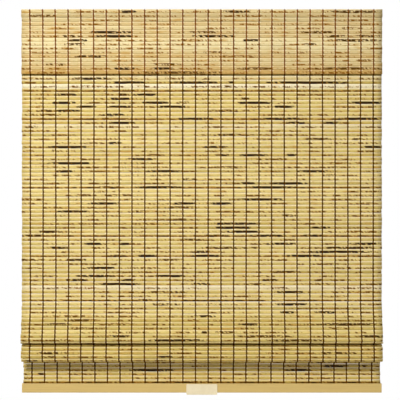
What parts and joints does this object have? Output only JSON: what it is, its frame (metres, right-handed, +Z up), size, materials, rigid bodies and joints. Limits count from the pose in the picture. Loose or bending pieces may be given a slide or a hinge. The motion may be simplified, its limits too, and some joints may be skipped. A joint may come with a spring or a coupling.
{
  "type": "bamboo roman shade",
  "caption": "Woven bamboo roman shade with a valance, a cordless spring lift in a steel headrail, a bottom rail with a pull, and its mat gathered in two front folds.",
  "frame": {"origin": "centre of the four ceiling screw holes, on the top face of the two brackets", "axes": "+X to the right as seen from the room, +Y towards the wall, +Z up; the front faces -Y"},
  "size_m": [0.908, 0.0631, 0.9688],
  "materials": {
    "bamboo": "bare split bamboo, pale straw to olive, with dark nodes and streaks",
    "brown_yarn": "twisted dark brown cotton yarn",
    "pine": "clear satin varnish over fine straight grain",
    "enamel_steel": "smooth cream enamel",
    "zinc_steel": "zinc plate",
    "screw_steel": "plain zinc",
    "spring_steel": "rolled blue-grey strip",
    "cream_plastic": "moulded cream plastic with a soft gloss",
    "white_plastic": "moulded off-white acetal",
    "ring_plastic": "clear-white nylon",
    "lift_cord": "fine braided polyester cord"
  },
  "bodies": {
    "headrail": {"headrail_channel": "enamel_steel", "end_cap_left": "cream_plastic", "end_cap_right": "cream_plastic", "bracket_left": "zinc_steel", "bracket_right": "zinc_steel", "batten": "pine", "batten_screws": "screw_steel", "valance_mat": "bamboo", "valance_yarns": "brown_yarn", "drop_mat": "bamboo", "drop_yarns": "brown_yarn", "motor_base": "white_plastic", "motor_cover": "white_plastic", "power_spring": "spring_steel", "cradle_left": "white_plastic", "cradle_right": "white_plastic", "roller_pins": "screw_steel", "lift_cord_left": "lift_cord", "lift_cord_right": "lift_cord"},
    "bottom_rail": {"fold_mat": "bamboo", "fold_yarns": "brown_yarn", "fold_rings": "ring_plastic", "cord_stops": "ring_plastic", "bottom_rail": "pine", "pull_handle": "cream_plastic"},
    "spool_left": {"spool_left": "white_plastic"},
    "output_drum": {"output_drum": "white_plastic"},
    "idler_gear": {"idler_gear": "white_plastic"},
    "storage_drum": {"storage_drum": "white_plastic"},
    "spool_right": {"spool_right": "white_plastic"},
    "roller_left": {"roller_left": "white_plastic"},
    "roller_right": {"roller_right": "white_plastic"},
    "ring_row_upper": {"ring_row_upper": "ring_plastic"},
    "ring_row_middle": {"ring_row_middle": "ring_plastic"},
    "ring_row_lower": {"ring_row_lower": "ring_plastic"}
  },
  "joints": [
    {"name": "lift", "type": "slide", "parent": "headrail", "child": "bottom_rail", "axis": [0, 0, 1], "range_m": [0, 0.58], "deforming": ["drop_mat", "drop_yarns", "lift_cord_left", "lift_cord_right", "power_spring"]},
    {"name": "spool_left_turn", "type": "hinge", "parent": "headrail", "child": "spool_left", "pos_m": [-0.042, 0, -0.0155], "axis": [0, 0, 1], "range_deg": [0, 3201]},
    {"name": "output_drum_turn", "type": "hinge", "parent": "headrail", "child": "output_drum", "pos_m": [-0.014, 0, -0.0155], "axis": [0, 0, 1], "range_deg": [-3201, 0]},
    {"name": "idler_gear_turn", "type": "hinge", "parent": "headrail", "child": "idler_gear", "pos_m": [0.014, 0, -0.0155], "axis": [0, 0, 1], "range_deg": [0, 3201]},
    {"name": "storage_drum_turn", "type": "hinge", "parent": "headrail", "child": "storage_drum", "pos_m": [0.014, 0, -0.0155], "axis": [0, 0, 1], "range_deg": [0, 3046]},
    {"name": "spool_right_turn", "type": "hinge", "parent": "headrail", "child": "spool_right", "pos_m": [0.042, 0, -0.0155], "axis": [0, 0, 1], "range_deg": [-3201, 0]},
    {"name": "roller_left_turn", "type": "hinge", "parent": "headrail", "child": "roller_left", "pos_m": [-0.29774, -0.0104, -0.0192], "axis": [0, 1, 0], "range_deg": [0, 7390]},
    {"name": "roller_right_turn", "type": "hinge", "parent": "headrail", "child": "roller_right", "pos_m": [0.29774, -0.0104, -0.0192], "axis": [0, 1, 0], "range_deg": [-7390, 0]},
    {"name": "ring_row_upper_rise", "type": "slide", "parent": "headrail", "child": "ring_row_upper", "axis": [0, 0, 1], "range_m": [0, 0.1527]},
    {"name": "ring_row_middle_rise", "type": "slide", "parent": "headrail", "child": "ring_row_middle", "axis": [0, 0, 1], "range_m": [0, 0.2955]},
    {"name": "ring_row_lower_rise", "type": "slide", "parent": "headrail", "child": "ring_row_lower", "axis": [0, 0, 1], "range_m": [0, 0.4382]}
  ],
  "couplings": [
    {"joint": "spool_left_turn", "follows": "lift", "rad_per_m": 96.154},
    {"joint": "output_drum_turn", "follows": "lift", "rad_per_m": -96.154},
    {"joint": "idler_gear_turn", "follows": "lift", "rad_per_m": 96.154},
    {"joint": "storage_drum_turn", "follows": "lift", "rad_per_m": 91.486},
    {"joint": "spool_right_turn", "follows": "lift", "rad_per_m": -96.154},
    {"joint": "roller_left_turn", "follows": "lift", "rad_per_m": 222.22},
    {"joint": "roller_right_turn", "follows": "lift", "rad_per_m": -222.22},
    {"joint": "ring_row_upper_rise", "follows": "lift", "ratio": 0.26155},
    {"joint": "ring_row_middle_rise", "follows": "lift", "ratio": 0.5077},
    {"joint": "ring_row_lower_rise", "follows": "lift", "ratio": 0.75385}
  ]
}
